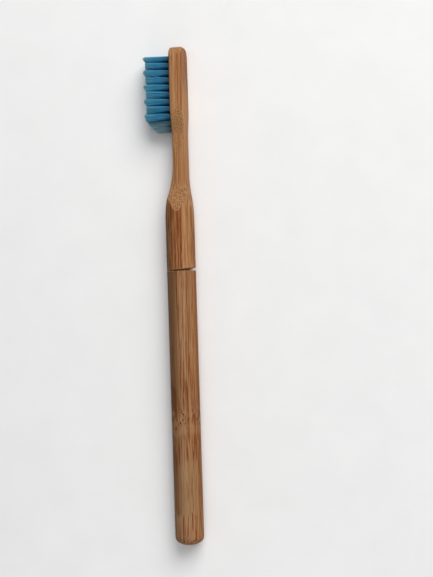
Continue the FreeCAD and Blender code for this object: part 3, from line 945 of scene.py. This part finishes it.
class Tuft:
    # One bunch of filaments that stands in its hole and flares towards its tips
    def __init__(self, column, row):
        # Grey marks the heel bunches, whose grey is painted shade
        grey = column > FULL_COLUMNS
        self.chance = random.Random(column * 100 + row)
        self.y = column_y(column)
        self.z = row_z(row)
        self.top = trim_height(self.y) if grey else PEAK_HEIGHT
        self.flare = HEEL_FLARE if grey else BLUE_FLARE
        self.open_side = OPEN_SIDES.get(row, 0)
        self.open_corner = CORNER_FILL if grey else 0.0
        toe_merge = HEEL_MERGE if grey else 0
        heel_merge = HEEL_MERGE if column >= FULL_COLUMNS else 0
        toe_side = min(self.y + FLARE_Y + toe_merge, TOE_LINE - FILAMENT)
        heel_side = max(self.y - FLARE_Y - heel_merge, HEEL_EDGE + FILAMENT)
        self.tip_y = (toe_side + heel_side) / 2 + COLUMN_LEANS.get(column, 0.0) * MM
        self.tip_reach = (toe_side - heel_side) / 2
        self.drift_y = self.chance.gauss(0, TUFT_DRIFT_Y) * MM
        self.drift_z = self.chance.gauss(0, TUFT_DRIFT_Z) * MM
        self.vertices, self.faces, self.shades = [], [], []

    def path(self, a, b, drift_y, drift_z, bow):
        # The place of one filament at each height over the plate. The round bunch fills out
        # towards the corners of its share of the field.
        widest = max(abs(a), abs(b))
        corner = math.hypot(a, b) / widest if widest else 1.0
        outward = b * self.open_side > 0
        corner = 1 + (corner - 1) * (self.open_corner if outward else CORNER_FILL)

        def at(height):
            share = min(max(height / self.top, 0.0), PAST_THE_TOP)
            spread = share**self.flare
            fill = 1 + (corner - 1) * spread
            y = self.y + (self.tip_y - self.y) * spread
            y += a * fill * (ROOT_REACH + (self.tip_reach - ROOT_REACH) * spread)
            z = self.z + b * fill * (ROOT_REACH + (FLARE_Z - ROOT_REACH) * spread)
            bend = bow * math.sin(math.pi * min(share, 1.0))
            y += (drift_y + self.drift_y) * share + bend
            z += (drift_z + self.drift_z) * share - bend
            y = min(max(y, HEEL_EDGE + FILAMENT), TOE_LINE - FILAMENT)
            return Vector((PLATE_X - height, y, z))

        return at

    def grow(self):
        for a, b in filament_places(self.chance):
            drift = LOOSE_DRIFT if self.chance.random() < LOOSE_CHANCE else HELD_DRIFT
            at = self.path(
                a,
                b,
                self.chance.gauss(0, drift) * MM,
                self.chance.gauss(0, drift) * MM,
                self.chance.gauss(0, BOW) * MM,
            )
            height = LOWEST_TRIM
            while height < PEAK_HEIGHT and height < trim_height(at(height).y):
                height += TRIM_STEP
            height = min(height, PEAK_HEIGHT) - self.chance.uniform(0.0, CUT_SPREAD) * MM
            levels = [-ROOT_DEPTH, 0.0]
            levels += [height * share for share in LEVEL_SHARES]
            levels += [height - TIP_LENGTH, height]
            self.add([at(level) for level in levels], self.chance.random())

    def spring(self):
        points = [
            Vector((PLATE_X - out * MM, self.y + toe * MM, self.z + lift * MM))
            for out, toe, lift in SPRUNG_POINTS
        ]
        # It takes the lightest tone of the nylon, a painted highlight
        self.add(points, 0.0)

    def add(self, points, shade):
        # A strand along the points, which narrows at its last one
        rings = []
        last = len(points) - 1
        for index, point in enumerate(points):
            ahead = points[min(index + 1, last)] - points[max(index - 1, 0)]
            ahead.normalize()
            side = ahead.cross(Vector((0, 0, 1))).normalized()
            lift = side.cross(ahead)
            shrink = TIP_SHRINK if index == last else 1.0
            ring = []
            for corner in range(SIDES):
                turn = 2 * math.pi * corner / SIDES
                ring.append(len(self.vertices))
                offset = side * math.cos(turn) + lift * math.sin(turn)
                self.vertices.append(point + offset * FILAMENT * shrink)
                self.shades.append(shade)
            rings.append(ring)
        for low, high in zip(rings, rings[1:]):
            for corner in range(SIDES):
                after = (corner + 1) % SIDES
                self.faces.append((low[corner], low[after], high[after], high[corner]))
        self.faces.append(tuple(reversed(rings[0])))
        self.faces.append(tuple(rings[-1]))

    def make(self, name, node, slot):
        # The bunch as one piece that rides with the head and stands for the CAD's tuft
        mesh = bpy.data.meshes.new(name)
        mesh.from_pydata([tuple(vertex) for vertex in self.vertices], [], self.faces)
        attribute = mesh.attributes.new("own_shade", "FLOAT", "POINT")
        attribute.data.foreach_set("value", self.shades)
        mesh.polygons.foreach_set("use_smooth", [True] * len(mesh.polygons))
        mesh.materials.append(NYLONS[slot])
        piece = bpy.data.objects.new(name, mesh)
        bpy.context.scene.collection.objects.link(piece)
        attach(piece, "head")
        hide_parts(node)


for node in sorted(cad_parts):
    if not node.startswith("tuft_"):
        continue
    column, row = (int(number) for number in node.split("_")[1:])
    tuft = Tuft(column, row)
    tuft.grow()
    if (column, row) == SPRUNG_TUFT:
        tuft.spring()
    slot = "blue_nylon" if column <= FULL_COLUMNS else "grey_nylon"
    tuft.make(f"bristles_{column:02d}_{row}", node, slot)


# Floor

FLOOR_REACH = 3.0
FLOOR_STOPS = ((0.2, (0.90, 0.90, 0.90, 1)), (0.8, (0.94, 0.94, 0.94, 1)))
floor_corners = ((-1, -1), (1, -1), (1, 1), (-1, 1))
floor_mesh = bpy.data.meshes.new("floor")
floor_mesh.from_pydata(
    [(x * FLOOR_REACH, y * FLOOR_REACH, 0) for x, y in floor_corners], [], [(0, 1, 2, 3)]
)
floor = bpy.data.objects.new("floor", floor_mesh)
bpy.context.scene.collection.objects.link(floor)
floor_paint = Graph("floor_paint")
floor_place = floor_paint.node("ShaderNodeTexCoord").outputs["Object"]
floor_noise = floor_paint.noise(floor_place, detail=3.0, scale=60.0)
floor_paint.surface({
    "Base Color": floor_paint.ramp(floor_noise, FLOOR_STOPS),
    "Roughness": 0.9,
    "Specular IOR Level": 0.1,
})
floor_mesh.materials.append(floor_paint.material)


# Light

# A soft key from the upper right of the picture, a small light by the butt's end, a low one
# from far beyond it, and a weak one from above. Each has its place, what it looks at, its
# size, its power and its colour.
LIGHTS = (
    ("key", (0.52, 0.86, 0.86), (0, 0, 0), 0.95, 16.0, (1.0, 0.99, 0.97)),
    ("end", (0.02, -0.25, 0.13), (0, -0.095, 0.005), 0.15, 0.04, (1.0, 1.0, 1.0)),
    ("low", (-0.10, -1.20, 0.60), (0, -0.05, 0), 0.60, 0.9, (1.0, 1.0, 1.0)),
    ("top", (0.20, 0.10, 1.3), (0, 0, 0), 0.9, 3.6, (0.98, 0.99, 1.0)),
)
for name, place, target, size, power, colour in LIGHTS:
    data = bpy.data.lights.new(name, "AREA")
    data.shape = "SQUARE"
    data.size = size
    data.energy = power
    data.color = colour
    light = bpy.data.objects.new(name, data)
    light.location = place
    aim = Vector(target) - Vector(place)
    light.rotation_euler = aim.to_track_quat("-Z", "Y").to_euler()
    light.visible_camera = False
    bpy.context.scene.collection.objects.link(light)

WORLD_COLOUR = (0.95, 0.97, 1.0, 1)
WORLD_STRENGTH = 0.19

world = bpy.data.worlds.new("studio")
world.use_nodes = True
background = world.node_tree.nodes["Background"]
background.inputs["Color"].default_value = WORLD_COLOUR
background.inputs["Strength"].default_value = WORLD_STRENGTH
bpy.context.scene.world = world
bpy.context.scene.view_settings.view_transform = "Standard"


# Camera at the photograph's viewing angle

# It looks from above, leaning towards the back of the head, at a point that lies along the
# brush and a little to the right of it
PHOTO_HEIGHT_PX = 577
PX_PER_MM = 2.6156
FRAME_HEIGHT = PHOTO_HEIGHT_PX / PX_PER_MM * MM
ROLL = math.radians(12.0)
TILT = math.radians(1.8)
DISTANCE = 0.56
SENSOR = 24.0
LOOKS_AT_ALONG = 98.03 * MM
LOOKS_AT_RIGHT = 13.16 * MM

toward = Vector((math.sin(ROLL), 0, math.cos(ROLL)))
flat_right = Vector((math.cos(ROLL), 0, -math.sin(ROLL)))
flat_up = Vector((0, 1, 0))
right = flat_right * math.cos(TILT) - flat_up * math.sin(TILT)
up = flat_right * math.sin(TILT) + flat_up * math.cos(TILT)
on_axis = Vector((AXIS_X, BUTT_Y + LOOKS_AT_ALONG, AXIS_Z))
eye = on_axis + right * LOOKS_AT_RIGHT + toward * DISTANCE
camera_data = bpy.data.cameras.new("camera")
camera_data.sensor_fit = "VERTICAL"
camera_data.sensor_height = SENSOR
camera_data.lens = SENSOR * DISTANCE / FRAME_HEIGHT
camera_data.clip_start = 0.01
camera_data.clip_end = 10.0
camera = bpy.data.objects.new("camera", camera_data)
axes = Matrix((right, up, toward)).transposed()
camera.matrix_world = Matrix.Translation(eye) @ axes.to_4x4()
bpy.context.scene.collection.objects.link(camera)
bpy.context.scene.camera = camera
